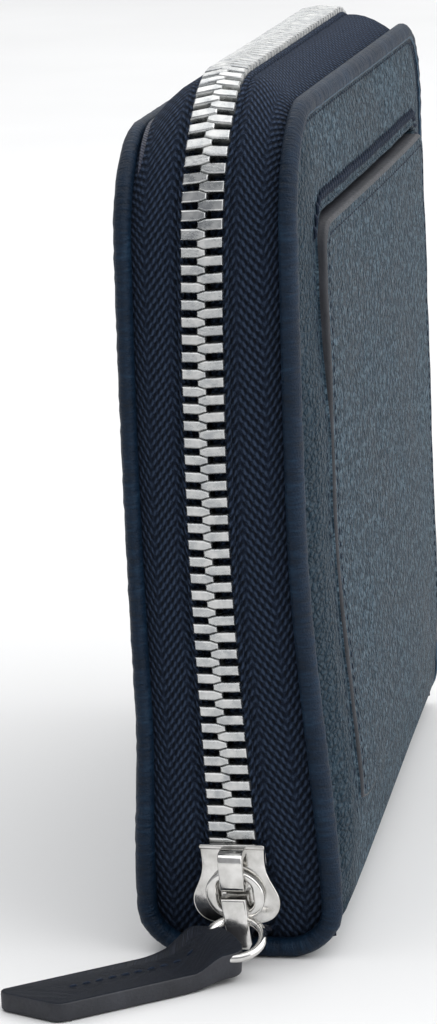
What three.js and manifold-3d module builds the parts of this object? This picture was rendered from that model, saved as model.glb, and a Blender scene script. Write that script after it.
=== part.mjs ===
// A compact zip-around wallet, standing on its spine.
// Millimetres. X runs through the thickness, Y along the spine, Z from the spine up to the zip.
// The origin is the centre of the spine's flat underside. The end with the zip slider faces -Y.
import * as THREE from 'three';
import { mergeVertices } from 'three/addons/utils/BufferGeometryUtils.js';
import Module from 'manifold-3d';

const wasm = await Module();
wasm.setup();

// The closed wallet
const length = 106;
const height = 100;
const thickness = 22;
const cornerRadius = 13;
const cornerSteps = 5;
const foldRadius = 6;
const gap = 0.3;
const leather = 1.2;

// Where the covers fold away from the flat spine
const foldX = thickness / 2 - foldRadius;
const coverFoot = foldRadius + gap;

// Rolled edge round each cover
const edgeDepth = 2.2;
const edgeWidth = 1.9;
const edgeRound = 0.5;

// Layers of one cover, counted inwards from its outer face
const board = 0.8;
const lining = 0.6;
const pocketLeather = 0.7;
const cardPockets = 3;
const cardTop = 84;
const cardStep = 9;
const slipTop = 54;
const boardFace = thickness / 2 - leather - gap;
const liningFace = boardFace - board - gap;
const pocketFace = liningFace - lining - gap;
const pocketPitch = pocketLeather + gap;

// Window in the front cover and the outside pocket set in it
const windowMargin = 12;
const windowTop = height - 13;
const windowFoot = 14;
const windowRadius = 4;
const pocketDrop = 2;
const pocketProud = 1.2;
const pocketBacking = 0.3;

// Zip chain
const pitch = 2;
const toothLength = 1.05;
const toothDepth = 2.4;
const toothTip = 0.45;
const toothShoulder = 1.2;
const chainHalf = 2.8;
const cordWidth = 0.6;
const cordDepth = 1.2;
const tapeInset = 1.9;
const tapeThickness = 0.5;
const chainFoot = 15;
const chainEnd = 11;

// Along the top the zip stands higher than the covers, on a rounder arch
const zipRise = 3.7;
const zipRound = 4.8;

// Slider, puller, ring and tab
const sliderFoot = 4.6;
const sliderHeight = 9;
const wingGap = 3;
const wing = 1;
const crownWidth = 2.6;
const crownRise = 2.6;
const crownLow = 8.2;
const crownHigh = 13.4;
const crownStrap = 0.9;
const crownLeg = 1.1;
const barHeight = 10.8;
const pullerPlate = 1;
const stemWidth = 2.9;
const stemDepth = 2.4;
const stemTip = 2.1;
const eyeletHeight = 5.7;
const ringRadius = 3.3;
const ringWire = 0.5;
const ringTilt = THREE.MathUtils.degToRad(67);
const ringLink = THREE.MathUtils.degToRad(143);
const tabLength = 26;
const tabWidth = 8.3;
const tabThickness = 2.2;
const tabTurn = THREE.MathUtils.degToRad(35);
const tabTilt = THREE.MathUtils.degToRad(4);
const tabSlope = THREE.MathUtils.degToRad(4);
const loopOuter = 2;
const loopInner = 1.4;
const loopWidth = 2.2;

// Coin pocket down the middle
const coinHalf = 3.6;
const coinWall = 0.8;
const coinTop = 82;
const coinReach = 47;
const coinFoot = 3.6;
const coinZipDrop = 2;

const wallet = new THREE.Group();
const xAxis = new THREE.Vector3(1, 0, 0);

const looks = {
  leather: { color: 0x2c3c4c, roughness: 0.55, metalness: 0 },
  edge: { color: 0x16283a, roughness: 0.5, metalness: 0 },
  tab: { color: 0x2c2e3a, roughness: 0.6, metalness: 0 },
  tape: { color: 0x1b2038, roughness: 0.9, metalness: 0 },
  lining: { color: 0x20283a, roughness: 0.85, metalness: 0 },
  board: { color: 0x8a8478, roughness: 0.9, metalness: 0 },
  nickel: { color: 0xc8c8c6, roughness: 0.2, metalness: 1 },
};

function add(name, look, geometry, parent = wallet) {
  const mesh = new THREE.Mesh(geometry, new THREE.MeshStandardMaterial(looks[look]));
  mesh.name = name;
  parent.add(mesh);
  return mesh;
}

function solid(geometry) {
  const bare = geometry.clone();
  bare.deleteAttribute('normal');
  bare.deleteAttribute('uv');
  const merged = mergeVertices(bare, 1e-4);
  return new wasm.Manifold(new wasm.Mesh({
    numProp: 3,
    vertProperties: new Float32Array(merged.attributes.position.array),
    triVerts: new Uint32Array(merged.index.array),
  }));
}

function geometryOf(body) {
  const mesh = body.getMesh();
  const geometry = new THREE.BufferGeometry();
  geometry.setAttribute('position', new THREE.BufferAttribute(new Float32Array(mesh.vertProperties), 3));
  geometry.setIndex(new THREE.BufferAttribute(new Uint32Array(mesh.triVerts), 1));
  geometry.computeVertexNormals();
  return geometry;
}

// The outline of the wallet's face, inset all round, from the near foot over the top to the far foot
function arch(inset, foot, reach = length / 2, top = height, radius = cornerRadius) {
  const half = reach - inset;
  const crest = top - inset;
  const r = Math.max(radius - inset, 1);
  const path = new THREE.Path();
  path.moveTo(-half, foot);
  path.lineTo(-half, crest - r);
  path.absarc(-half + r, crest - r, r, Math.PI, Math.PI / 2, true);
  path.lineTo(half - r, crest);
  path.absarc(half - r, crest - r, r, Math.PI / 2, 0, true);
  path.lineTo(half, foot);
  return path.getPoints(cornerSteps);
}

function rimShape(outerInset, innerInset, foot) {
  return new THREE.Shape([...arch(outerInset, foot), ...arch(innerInset, foot).reverse()]);
}

function zipShape(outerInset, innerInset, foot) {
  const side = (inset) => arch(inset, foot, length / 2, height + zipRise, cornerRadius + zipRound);
  return new THREE.Shape([...side(outerInset), ...side(innerInset).reverse()]);
}

// A shape drawn in Y and Z, extruded along X between two planes, on either side of the middle
function acrossX(shape, xNear, xFar, side = 1, round = 0) {
  const low = side > 0 ? xNear : -xFar;
  const geometry = new THREE.ExtrudeGeometry(shape, {
    depth: xFar - xNear - 2 * round,
    bevelEnabled: round > 0,
    bevelThickness: round,
    bevelSize: round,
    bevelOffset: -round,
    bevelSegments: 2,
    steps: 1,
  });
  const turn = new THREE.Matrix4().makeBasis(
    new THREE.Vector3(0, 1, 0), new THREE.Vector3(0, 0, 1), xAxis);
  geometry.applyMatrix4(turn.setPosition(low + round, 0, 0));
  return geometry;
}

function box(xSize, ySize, zSize, x, y, z) {
  return new THREE.BoxGeometry(xSize, ySize, zSize).translate(x, y, z);
}

// ---- Covers, spine and folds ----

function windowOutline(grow, top) {
  const half = length / 2 - windowMargin + grow;
  const foot = windowFoot - grow;
  const r = windowRadius + grow;
  const path = new THREE.Path();
  path.moveTo(-half, foot);
  path.lineTo(half, foot);
  path.lineTo(half, top - r);
  path.absarc(half - r, top - r, r, 0, Math.PI / 2, false);
  path.lineTo(-half + r, top);
  path.absarc(-half + r, top - r, r, Math.PI / 2, Math.PI, false);
  path.closePath();
  return path.getPoints(3);
}

function addCover(name, side) {
  const face = thickness / 2;
  const skin = new THREE.Shape(arch(edgeDepth + gap, coverFoot));
  if (side > 0) {
    skin.holes.push(new THREE.Path(windowOutline(0, windowTop)));
  }
  add(`${name}_cover_leather`, 'leather', acrossX(skin, face - leather, face, side));
  const inner = new THREE.Shape(arch(edgeDepth + gap, coverFoot));
  add(`${name}_board`, 'board', acrossX(inner, boardFace - board, boardFace, side));
  add(`${name}_lining`, 'lining', acrossX(inner, liningFace - lining, liningFace, side));
  const rim = rimShape(0, edgeDepth, coverFoot);
  add(`${name}_rolled_edge`, 'edge', acrossX(rim, face - edgeWidth, face, side, edgeRound));
}

function addOutsidePocket() {
  const face = thickness / 2;
  const back = face - leather;
  const backing = new THREE.Shape(windowOutline(-gap, windowTop - gap));
  add('pocket_backing', 'lining', acrossX(backing, back, back + pocketBacking));
  const panel = new THREE.Shape(windowOutline(-gap, windowTop - pocketDrop));
  add('pocket_panel', 'leather', acrossX(panel, back + pocketBacking + gap, face + pocketProud, 1, gap));
}

function addSpine() {
  const half = length / 2;
  const layers = [
    ['spine_leather', 'leather', 0, leather, foldX, half - edgeDepth - gap],
    ['spine_board', 'board', leather + gap, board, foldX - gap, half - edgeDepth - gap],
    ['spine_lining', 'lining', leather + board + 2 * gap, lining, foldX - gap, half - edgeDepth - gap],
  ];
  for (const [name, look, low, deep, reachX, reachY] of layers) {
    add(name, look, box(2 * reachX, 2 * reachY, deep, 0, 0, low + deep / 2));
  }
  for (const [name, side] of [['near', -1], ['far', 1]]) {
    const y = side * (half - edgeDepth / 2);
    add(`spine_rolled_edge_${name}`, 'edge', box(2 * foldX, edgeDepth, edgeWidth, 0, y, edgeWidth / 2));
  }
}

// The quarter turn of leather between the spine and a cover
function addFold(name, side) {
  const clear = gap / foldRadius;
  const arc = new THREE.Path();
  arc.absarc(side * foldX, foldRadius, foldRadius, -clear, -Math.PI / 2 + clear, true);
  const back = new THREE.Path();
  back.absarc(side * foldX, foldRadius, foldRadius - leather, -Math.PI / 2 + clear, -clear, false);
  const points = [...arc.getPoints(4), ...back.getPoints(4)];
  if (side < 0) {
    points.forEach((point) => point.setX(2 * side * foldX - point.x));
  }
  const geometry = new THREE.ExtrudeGeometry(new THREE.Shape(points), { depth: length, bevelEnabled: false });
  geometry.rotateX(Math.PI / 2).translate(0, length / 2, 0);
  add(`${name}_fold_leather`, 'leather', geometry);
}

// ---- Card pockets ----

function addCardPockets(name, side) {
  const reach = coinReach;
  for (let tier = 0; tier < cardPockets; tier += 1) {
    const face = pocketFace - tier * pocketPitch;
    const top = cardTop - tier * cardStep;
    const outline = new THREE.Shape(arch(0, coverFoot + 1, reach, top, 3));
    add(`${name}_card_pocket_${tier + 1}`, 'lining', acrossX(outline, face - pocketLeather, face, side));
  }
  const slipFace = pocketFace - cardPockets * pocketPitch;
  const slip = new THREE.Shape(arch(0, coverFoot + 1, reach, slipTop, 3));
  add(`${name}_slip_pocket`, 'lining', acrossX(slip, slipFace - pocketLeather + 0.1, slipFace, side));
}

// ---- Coin pocket ----

function addCoinPocket() {
  const wallShape = new THREE.Shape(arch(0, coinFoot, coinReach, coinTop, 3));
  for (const [name, side] of [['back', -1], ['front', 1]]) {
    add(`coin_wall_${name}`, 'lining', acrossX(wallShape, coinHalf - coinWall, coinHalf, side));
    add(`coin_zip_tape_${name}`, 'tape',
      box(1.1, 2 * coinReach - 4, 0.5, side * 1.95, 0, coinTop - coinZipDrop));
    add(`coin_zip_teeth_${name}`, 'nickel', coinTeeth(side));
  }
  const reach = coinReach - gap;
  const inside = reach - 1;
  const gusset = new THREE.Shape([
    new THREE.Vector2(-reach, coinFoot),
    new THREE.Vector2(reach, coinFoot),
    new THREE.Vector2(reach, coinTop - 6),
    new THREE.Vector2(inside, coinTop - 6),
    new THREE.Vector2(inside, coinFoot + 1),
    new THREE.Vector2(-inside, coinFoot + 1),
    new THREE.Vector2(-inside, coinTop - 6),
    new THREE.Vector2(-reach, coinTop - 6),
  ]);
  const gussetHalf = coinHalf - coinWall - gap;
  add('coin_gusset', 'lining', acrossX(gusset, -gussetHalf, gussetHalf));
  addCoinSlider();
}

// One side of the coin pocket's small zip: teeth on a cord
function coinTeeth(side) {
  const run = 2 * coinReach - 12;
  const count = Math.floor(run / pitch / 2);
  const z = coinTop - coinZipDrop;
  let comb = solid(box(0.3, run, 0.7, side * 1, 0, z));
  for (let i = 0; i < count; i += 1) {
    const y = -run / 2 + (i + 0.5) * (run / count);
    comb = comb.add(solid(box(0.8, 1.2, 1.2, side * 0.7, y, z)));
  }
  return geometryOf(comb);
}

function addCoinSlider() {
  const y = -coinReach + 9;
  const z = coinTop - coinZipDrop;
  const wingSpread = 1.4;
  const wingPlate = (side) => solid(box(4.2, 7, 0.8, 0, y, z + side * wingSpread));
  const postThick = 0.3;
  const post = solid(box(postThick, 2, 2 * wingSpread, 0, y - 2, z));
  add('coin_slider', 'nickel', geometryOf(wingPlate(1).add(wingPlate(-1)).add(post)));
  const lift = z + 2.2;
  const plateLength = 13;
  const plate = solid(box(2.4, plateLength, 0.6, 0, y + 5.2, lift));
  const gripRadius = 0.6;
  const grip = new THREE.CylinderGeometry(gripRadius, gripRadius, 4, 12).rotateZ(Math.PI / 2);
  grip.translate(0, y + 11, lift);
  add('coin_puller', 'nickel', geometryOf(plate.add(solid(grip))));
}

// ---- Zip ----

function addTape(name, side) {
  const band = zipShape(tapeInset - tapeThickness / 2, tapeInset + tapeThickness / 2, coverFoot);
  const outer = thickness / 2 - edgeWidth - gap;
  add(`${name}_zip_tape`, 'tape', acrossX(band, chainHalf + gap, outer, side));
}

// Stations along the middle of the chain: a place and the direction of travel
function chainStation(distance) {
  const half = length / 2 - tapeInset;
  const top = height + zipRise - tapeInset;
  const r = cornerRadius + zipRound - tapeInset;
  const quarter = r * Math.PI / 2;
  const up = top - r - chainFoot;
  const across = 2 * (half - r);
  if (distance < up) {
    return { y: -half, z: chainFoot + distance, turn: Math.PI / 2 };
  }
  if (distance < up + quarter) {
    const angle = Math.PI - (distance - up) / r;
    return { y: -half + r + r * Math.cos(angle), z: top - r + r * Math.sin(angle), turn: angle - Math.PI / 2 };
  }
  if (distance < up + quarter + across) {
    return { y: -half + r + distance - up - quarter, z: top, turn: 0 };
  }
  if (distance < up + 2 * quarter + across) {
    const angle = Math.PI / 2 - (distance - up - quarter - across) / r;
    return { y: half - r + r * Math.cos(angle), z: top - r + r * Math.sin(angle), turn: angle - Math.PI / 2 };
  }
  return { y: half, z: top - r - (distance - up - 2 * quarter - across), turn: -Math.PI / 2 };
}

function toothShape(side) {
  const half = toothLength / 2;
  return new THREE.Shape([
    new THREE.Vector2(side * chainHalf, -half),
    new THREE.Vector2(side * toothShoulder, -half),
    new THREE.Vector2(side * toothTip, 0),
    new THREE.Vector2(side * toothShoulder, half),
    new THREE.Vector2(side * chainHalf, half),
  ]);
}

// One side of the chain: pointed teeth clamped to the cord at the tape's edge
function addTeeth(name, side) {
  const cord = zipShape(tapeInset - cordDepth / 2, tapeInset + cordDepth / 2, coverFoot);
  let comb = solid(acrossX(cord, chainHalf - cordWidth, chainHalf, side));
  const straight = height + zipRise - cornerRadius - zipRound;
  const over = length - 2 * (cornerRadius + zipRound);
  const round = Math.PI * (cornerRadius + zipRound - tapeInset);
  const run = straight - chainFoot + over + round + straight - chainEnd;
  const shift = side > 0 ? pitch / 2 : 0;
  const tooth = new THREE.ExtrudeGeometry(toothShape(side), { depth: toothDepth, bevelEnabled: false });
  tooth.translate(0, 0, -toothDepth / 2);
  for (let distance = shift; distance < run; distance += pitch) {
    const { y, z, turn } = chainStation(distance);
    const along = new THREE.Vector3(0, Math.cos(turn), Math.sin(turn));
    const place = new THREE.Matrix4().makeBasis(xAxis, along, new THREE.Vector3().crossVectors(xAxis, along));
    comb = comb.add(solid(tooth.clone().applyMatrix4(place.setPosition(0, y, z))));
  }
  add(`${name}_zip_teeth`, 'nickel', geometryOf(comb));
}

function addStops() {
  const y = length / 2 - tapeInset;
  const reach = chainHalf - cordWidth - gap;
  const topWidth = 0.8;
  const topHeight = 1.6;
  for (const [name, side] of [['back', -1], ['front', 1]]) {
    const x = side * (reach - topWidth / 2);
    add(`${name}_top_stop`, 'nickel', box(topWidth, 1.8, topHeight, x, -y, coverFoot + topHeight / 2));
  }
  const bottomHeight = 1.4;
  add('bottom_stop', 'nickel', box(2 * reach, 2, bottomHeight, 0, y, coverFoot + bottomHeight / 2));
}

// ---- Slider, puller, ring and tab ----

const chainFace = -(length / 2 - tapeInset);
const wingFace = chainFace - wingGap / 2 - wing;
const barY = wingFace - 0.9;
const eyeletY = barY + pullerPlate / 2 - stemDepth / 2;

// The slider's outline, flared towards the end that parts the teeth
function wingShape() {
  const top = sliderHeight;
  const shape = new THREE.Shape();
  shape.moveTo(-3.4, 0);
  shape.lineTo(3.4, 0);
  shape.bezierCurveTo(4.6, 0.2, 5.3, 1.2, 5.3, 2.7);
  shape.bezierCurveTo(5.3, 4.4, 3.8, 5.8, 3.7, top - 1.5);
  shape.lineTo(3.85, top);
  shape.lineTo(-3.85, top);
  shape.lineTo(-3.7, top - 1.5);
  shape.bezierCurveTo(-3.8, 5.8, -5.3, 4.4, -5.3, 2.7);
  shape.bezierCurveTo(-5.3, 1.2, -4.6, 0.2, -3.4, 0);
  return shape;
}

// A shape drawn in X and Z, extruded towards -Y from a plane
function outward(shape, depth, y, z) {
  const geometry = new THREE.ExtrudeGeometry(shape, { depth, bevelEnabled: false, curveSegments: 6 });
  return geometry.rotateX(Math.PI / 2).translate(0, y, z);
}

function addSliderBody() {
  const outer = solid(outward(wingShape(), wing, wingFace + wing, sliderFoot));
  const inner = solid(outward(wingShape(), wing, chainFace + wingGap / 2 + wing, sliderFoot));
  const post = solid(box(0.5, wingGap + wing, 2.6, 0, chainFace, sliderFoot + 2.2));
  let body = outer.add(inner).add(post);
  for (const reach of [-1, 1]) {
    const y = chainFace + reach * (wingGap / 2 - 0.3);
    body = body.add(solid(box(0.5, 1, 4.5, -3.45, y, sliderFoot + sliderHeight - 2.4)));
  }
  add('slider_body', 'nickel', geometryOf(body));
}

// A staple over the outer wing that the puller hangs from
function addCrown() {
  const base = 0.1;
  const rise = crownRise;
  const chamfer = 0.7;
  const crown = new THREE.Shape([
    new THREE.Vector2(base, crownLow),
    new THREE.Vector2(rise - chamfer, crownLow),
    new THREE.Vector2(rise, crownLow + chamfer),
    new THREE.Vector2(rise, crownHigh - chamfer),
    new THREE.Vector2(rise - chamfer, crownHigh),
    new THREE.Vector2(base, crownHigh),
    new THREE.Vector2(base, crownHigh - crownLeg),
    new THREE.Vector2(rise - crownStrap, crownHigh - crownLeg),
    new THREE.Vector2(rise - crownStrap, crownLow + crownLeg),
    new THREE.Vector2(base, crownLow + crownLeg),
  ]);
  const geometry = new THREE.ExtrudeGeometry(crown, { depth: crownWidth, bevelEnabled: false });
  const turn = new THREE.Matrix4().makeBasis(
    new THREE.Vector3(0, -1, 0), new THREE.Vector3(0, 0, 1), new THREE.Vector3(-1, 0, 0));
  geometry.applyMatrix4(turn.setPosition(crownWidth / 2, wingFace, 0));
  add('slider_crown', 'nickel', geometry);
}

// A flat eye round the crown, and a stem with a cross hole for the ring
function addPuller() {
  const eye = new THREE.Shape();
  const eyeHalf = 3.5;
  const eyeTall = 3.1;
  eye.absellipse(0, barHeight - 2.35, eyeHalf, eyeTall, 0, 2 * Math.PI, false, 0);
  const holeHalf = 2.1;
  const holeRound = 0.7;
  const holeTop = barHeight - 0.5;
  const holeFoot = barHeight - 4.1;
  const windowHole = new THREE.Path();
  windowHole.absarc(-holeHalf + holeRound, holeFoot + holeRound, holeRound, 1.5 * Math.PI, Math.PI, true);
  windowHole.absarc(-holeHalf + holeRound, holeTop - holeRound, holeRound, Math.PI, Math.PI / 2, true);
  windowHole.absarc(holeHalf - holeRound, holeTop - holeRound, holeRound, Math.PI / 2, 0, true);
  windowHole.absarc(holeHalf - holeRound, holeFoot + holeRound, holeRound, 0, -Math.PI / 2, true);
  eye.holes.push(windowHole);
  const plate = solid(outward(eye, pullerPlate, barY + pullerPlate / 2, 0));
  const top = eyeletHeight + 1.5;
  const stem = new THREE.Shape([
    new THREE.Vector2(-stemWidth / 2, stemTip + 0.6),
    new THREE.Vector2(-stemWidth / 3, stemTip),
    new THREE.Vector2(stemWidth / 3, stemTip),
    new THREE.Vector2(stemWidth / 2, stemTip + 0.6),
    new THREE.Vector2(stemWidth / 2, top),
    new THREE.Vector2(-stemWidth / 2, top),
  ]);
  const shank = solid(outward(stem, stemDepth, barY + pullerPlate / 2, 0));
  const eyeletRadius = 0.9;
  const eyelet = new THREE.CylinderGeometry(eyeletRadius, eyeletRadius, stemWidth + 2, 16).rotateZ(Math.PI / 2);
  eyelet.translate(0, eyeletY, eyeletHeight - 0.15);
  add('puller', 'nickel', geometryOf(plate.add(shank).subtract(solid(eyelet))));
}

// The ring hangs from the stem, its lower side swung out from the wallet
function addRing() {
  const hang = new THREE.Group();
  hang.position.set(0, eyeletY, eyeletHeight);
  hang.rotation.x = -ringTilt;
  const ring = add('jump_ring', 'nickel', new THREE.TorusGeometry(ringRadius, ringWire, 8, 32), hang);
  ring.rotation.x = Math.PI / 2;
  ring.position.z = -ringRadius;
  wallet.add(hang);
}

// Where the tab's loop sits on the ring
function linkPoint() {
  const down = ringRadius * (1 - Math.cos(ringLink));
  return new THREE.Vector3(
    -ringRadius * Math.sin(ringLink),
    eyeletY - down * Math.sin(ringTilt),
    eyeletHeight - down * Math.cos(ringTilt));
}

// Plan of the tab, with its ring end tapering to the loop
function tabPlan() {
  const half = tabWidth / 2;
  const shoulder = 5;
  const bow = 1.2;
  const plan = new THREE.Shape();
  plan.moveTo(-loopOuter - 1, -loopWidth / 2);
  plan.lineTo(1, -loopWidth / 2);
  plan.lineTo(shoulder, -half);
  plan.lineTo(tabLength - bow, -half);
  plan.quadraticCurveTo(tabLength, -half, tabLength, -half + bow);
  plan.lineTo(tabLength, half - bow);
  plan.quadraticCurveTo(tabLength, half, tabLength - bow, half);
  plan.lineTo(shoulder, half);
  plan.lineTo(1, loopWidth / 2);
  plan.lineTo(-loopOuter - 1, loopWidth / 2);
  return plan;
}

// A strip folded round the ring: the loop and the doubled tab, seen from its side
function tabSide() {
  const half = tabThickness / 2;
  const meet = Math.asin(half / loopOuter);
  const side = new THREE.Shape();
  side.moveTo(tabLength, -half);
  side.lineTo(tabLength, half);
  side.absarc(0, 0, loopOuter, meet, 2 * Math.PI - meet, false);
  const hole = new THREE.Path();
  hole.absarc(0, 0, loopInner, 0, 2 * Math.PI, true);
  side.holes.push(hole);
  return side;
}

function addTab() {
  const tall = 2 * loopOuter + 2;
  const plan = new THREE.ExtrudeGeometry(tabPlan(), { depth: tall, bevelEnabled: false, curveSegments: 3 });
  plan.translate(0, 0, -tall / 2);
  const profile = new THREE.ExtrudeGeometry(tabSide(), { depth: tabWidth + 2, bevelEnabled: false, curveSegments: 10 });
  profile.translate(0, 0, -tabWidth / 2 - 1).rotateX(Math.PI / 2);
  const tab = add('tab_leather', 'tab', geometryOf(solid(plan).intersect(solid(profile))));
  tab.position.copy(linkPoint());
  tab.rotation.set(-tabTilt, tabSlope, Math.PI + tabTurn, 'ZYX');
}

addCover('back', -1);
addCover('front', 1);
addOutsidePocket();
addSpine();
addFold('back', -1);
addFold('front', 1);
addCardPockets('back', -1);
addCardPockets('front', 1);
addCoinPocket();
addTape('back', -1);
addTape('front', 1);
addTeeth('back', -1);
addTeeth('front', 1);
addStops();
addSliderBody();
addCrown();
addPuller();
addRing();
addTab();

export default wallet;
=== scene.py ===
"""A compact zip around wallet, standing on its spine with the slider at the near end.

The frame is in metres, with +Z up, X through the thickness and Y along the spine.
Shapes are worked out in millimetres and scaled once, when a mesh is made.
"""
import random
from math import atan2, cos, dist, hypot, pi, radians, sin

import bmesh
import bpy
from mathutils import Matrix, Vector


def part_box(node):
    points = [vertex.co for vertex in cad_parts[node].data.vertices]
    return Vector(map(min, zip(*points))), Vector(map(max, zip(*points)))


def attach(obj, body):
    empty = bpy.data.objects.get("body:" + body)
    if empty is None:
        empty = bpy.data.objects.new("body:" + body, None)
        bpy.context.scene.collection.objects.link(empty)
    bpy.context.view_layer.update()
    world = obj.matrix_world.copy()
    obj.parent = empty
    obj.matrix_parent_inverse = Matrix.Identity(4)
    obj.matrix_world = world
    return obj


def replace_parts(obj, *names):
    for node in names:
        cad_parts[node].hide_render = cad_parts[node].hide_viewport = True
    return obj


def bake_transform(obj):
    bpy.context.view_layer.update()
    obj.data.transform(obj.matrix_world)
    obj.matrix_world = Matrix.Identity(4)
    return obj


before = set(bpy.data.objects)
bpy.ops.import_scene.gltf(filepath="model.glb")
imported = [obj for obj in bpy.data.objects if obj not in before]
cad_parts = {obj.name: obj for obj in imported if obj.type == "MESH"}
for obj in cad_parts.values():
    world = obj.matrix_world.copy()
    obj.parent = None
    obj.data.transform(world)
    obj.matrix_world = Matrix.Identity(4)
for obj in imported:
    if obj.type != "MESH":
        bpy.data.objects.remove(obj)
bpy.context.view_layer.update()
random.seed(7)

MM = 0.001

# ---- Sizes, in millimetres ----
rim_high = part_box("front_rolled_edge")[1]
HALF_X = rim_high.x / MM
HALF_Y = rim_high.y / MM
HEIGHT = rim_high.z / MM
FOLD = 6.0
FLAT = HALF_X - FOLD
ARC = FOLD * pi / 2
CORNER = 13.0
CREST = HEIGHT - FOLD + FLAT + ARC

# How the filled wallet leaves the straight shape: it bows, narrows above its foot and swells
BOW = 1.6
BOW_FOOT = 10.0
RIM_BOW = 0.3
FRONT_WAIST = 0.93
FRONT_SWELL = 0.20
FRONT_SWELL_TOP = 52.0
BACK_WAIST = 0.97
BACK_SWELL = 0.11
BACK_SWELL_TOP = 30.0
FAR_SPREAD = 1.02
BACK_SINK = 2.4
BACK_SINK_FOOT = 55.0
CREASE = 0.35
CREASE_INSET = 2.4
PAD_TOP = 0.3
PAD_LOW = 1.2
PAD_REACH = 6.0
PAD_FROM = 8.0
PAD_FULL = 28.0
BELLY = 1.0

# The window in the front cover and the pocket in it
WINDOW_HALF = HALF_Y - 12
WINDOW_TOP = 86.7
WINDOW_FOOT = 14.0
WINDOW_RADIUS = 4.0
PANEL_TOP = 85.6
PANEL_PROUD_TOP = 1.3
PANEL_PROUD_LOW = 0.45
PANEL_DEPTH = 2.3

# The zip
CHAIN_INSET = 1.9
PITCH = 2.0
TOOTH_LENGTH = 1.26
TOOTH_TIP = 0.55
TOOTH_OUT = 1.2
CHAIN_HALF = 2.8
CHAIN_FOOT = 15.0
CHAIN_END = 11.0
TAPE_FOOT = 1.8
CHAIN_TOP = 101.8
CHAIN_ROUND = 17.0
CROWN_END = 0.25
TAPE_REACH = 9.6

# Leather and tape
SKIN = 0.7
TAPE_THICKNESS = 0.3

# How many points each stretch of an outline has: side, corner, top and foot
LOOP_STEPS = (64, 14, 56, 40)
RIM_STEPS = (110, 22, 110, 2)
FOOT_STEPS = LOOP_STEPS[3]


def smooth(low, high, value):
    t = min(max((value - low) / (high - low), 0.0), 1.0)
    return t * t * (3 - 2 * t)


# ---- The filled wallet's shape ----

def bow(z):
    """How far the closed end leans towards the back cover at a height."""
    t = min(max((z - BOW_FOOT) / (HEIGHT - BOW_FOOT), 0.0), 1.0)
    return -BOW * sin(pi * t)


def spread(side, y, z):
    """The near end is wider at its foot than above it, most on the front cover's side."""
    if side > 0:
        near = FRONT_WAIST + FRONT_SWELL * (1 - smooth(4, FRONT_SWELL_TOP, z))
    else:
        near = BACK_WAIST + BACK_SWELL * (1 - smooth(8, BACK_SWELL_TOP, z))
    return near + (FAR_SPREAD - near) * smooth(-HALF_Y, HALF_Y, y)


def settled(x, y, z):
    """Moves a point of the straight wallet sideways to where the filled one has it."""
    share = min(abs(x) / HALF_X, 1.0)
    return x * spread(1 if x > 0 else -1, y, z) + bow(z) * (1 - (1 - RIM_BOW) * share)


def sunk(side, z):
    """The back cover stands a little lower than the front one."""
    return z - BACK_SINK * smooth(BACK_SINK_FOOT, HEIGHT, z) if side < 0 else z


def on_shell(side, y, s, h):
    """A point h outside the outer face, s along it from the middle of the spine."""
    h = min(h, 2 * max(s - FLAT, 0.0))
    if s < FLAT:
        x, z = s, -h
    elif s < FLAT + ARC:
        turn = (s - FLAT) / FOLD
        x = FLAT + (FOLD + h) * sin(turn)
        z = FOLD - (FOLD + h) * cos(turn)
    else:
        x, z = HALF_X + h, FOLD + s - FLAT - ARC
    return Vector((settled(side * x, y, z), y, sunk(side, z)))


def height_at(s):
    return s - FLAT - ARC + FOLD


def along_at(z):
    return z + FLAT + ARC - FOLD


def edge_distance(y, s):
    """How far a point of a cover is from the wallet's outline."""
    reach, rise = abs(y) - (HALF_Y - CORNER), s - (CREST - CORNER)
    if reach > 0 and rise > 0:
        return CORNER - hypot(reach, rise)
    return min(HALF_Y - abs(y), CREST - s)


def pad_height(y, s):
    """How far the leather stands out from the flat face: a crease at the edge, then a pillow."""
    inside = min(max((edge_distance(y, s) - CREASE_INSET) / PAD_REACH, 0.0), 1.0)
    rise = 1 - (1 - inside) ** 2
    up = smooth(PAD_FROM, PAD_FULL, s)
    across = 1 - (y / HALF_Y) ** 2
    tall = sin(pi * min(max(height_at(s) / HEIGHT, 0.0), 1.0))
    pad = PAD_LOW + (PAD_TOP - PAD_LOW) * smooth(58, 78, height_at(s))
    return -CREASE + rise * (CREASE + up * pad) + up * rise * BELLY * across * tall


def straight(start, end, steps):
    """Points along a line, without its last one."""
    (y0, s0), (y1, s1) = start, end
    return [(y0 + (y1 - y0) * i / steps, s0 + (s1 - s0) * i / steps) for i in range(steps)]


def arc(centre, r, start, end, steps):
    """Points round part of a circle, without its last one."""
    turns = [start + (end - start) * i / steps for i in range(steps)]
    return [(centre[0] + r * cos(turn), centre[1] + r * sin(turn)) for turn in turns]


def circle(count):
    """Points evenly round a circle of radius one."""
    return arc((0, 0), 1, 0, 2 * pi, count)


def arch_loop(inset, steps=LOOP_STEPS):
    """The outline of a half shell in (y, s), closed along the middle of the spine."""
    r = max(CORNER - inset, 1.5)
    return rounded_loop(HALF_Y - inset, 0.0, CREST - inset, r, 0.0, steps)


def window_loop(grow, top=WINDOW_TOP):
    """The outline of the pocket's window in (y, s), grown by a distance."""
    r = max(WINDOW_RADIUS + grow, 0.6)
    foot = along_at(WINDOW_FOOT) - grow
    return rounded_loop(WINDOW_HALF + grow, foot, along_at(top) + grow, r, r * 0.5, LOOP_STEPS)


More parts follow.
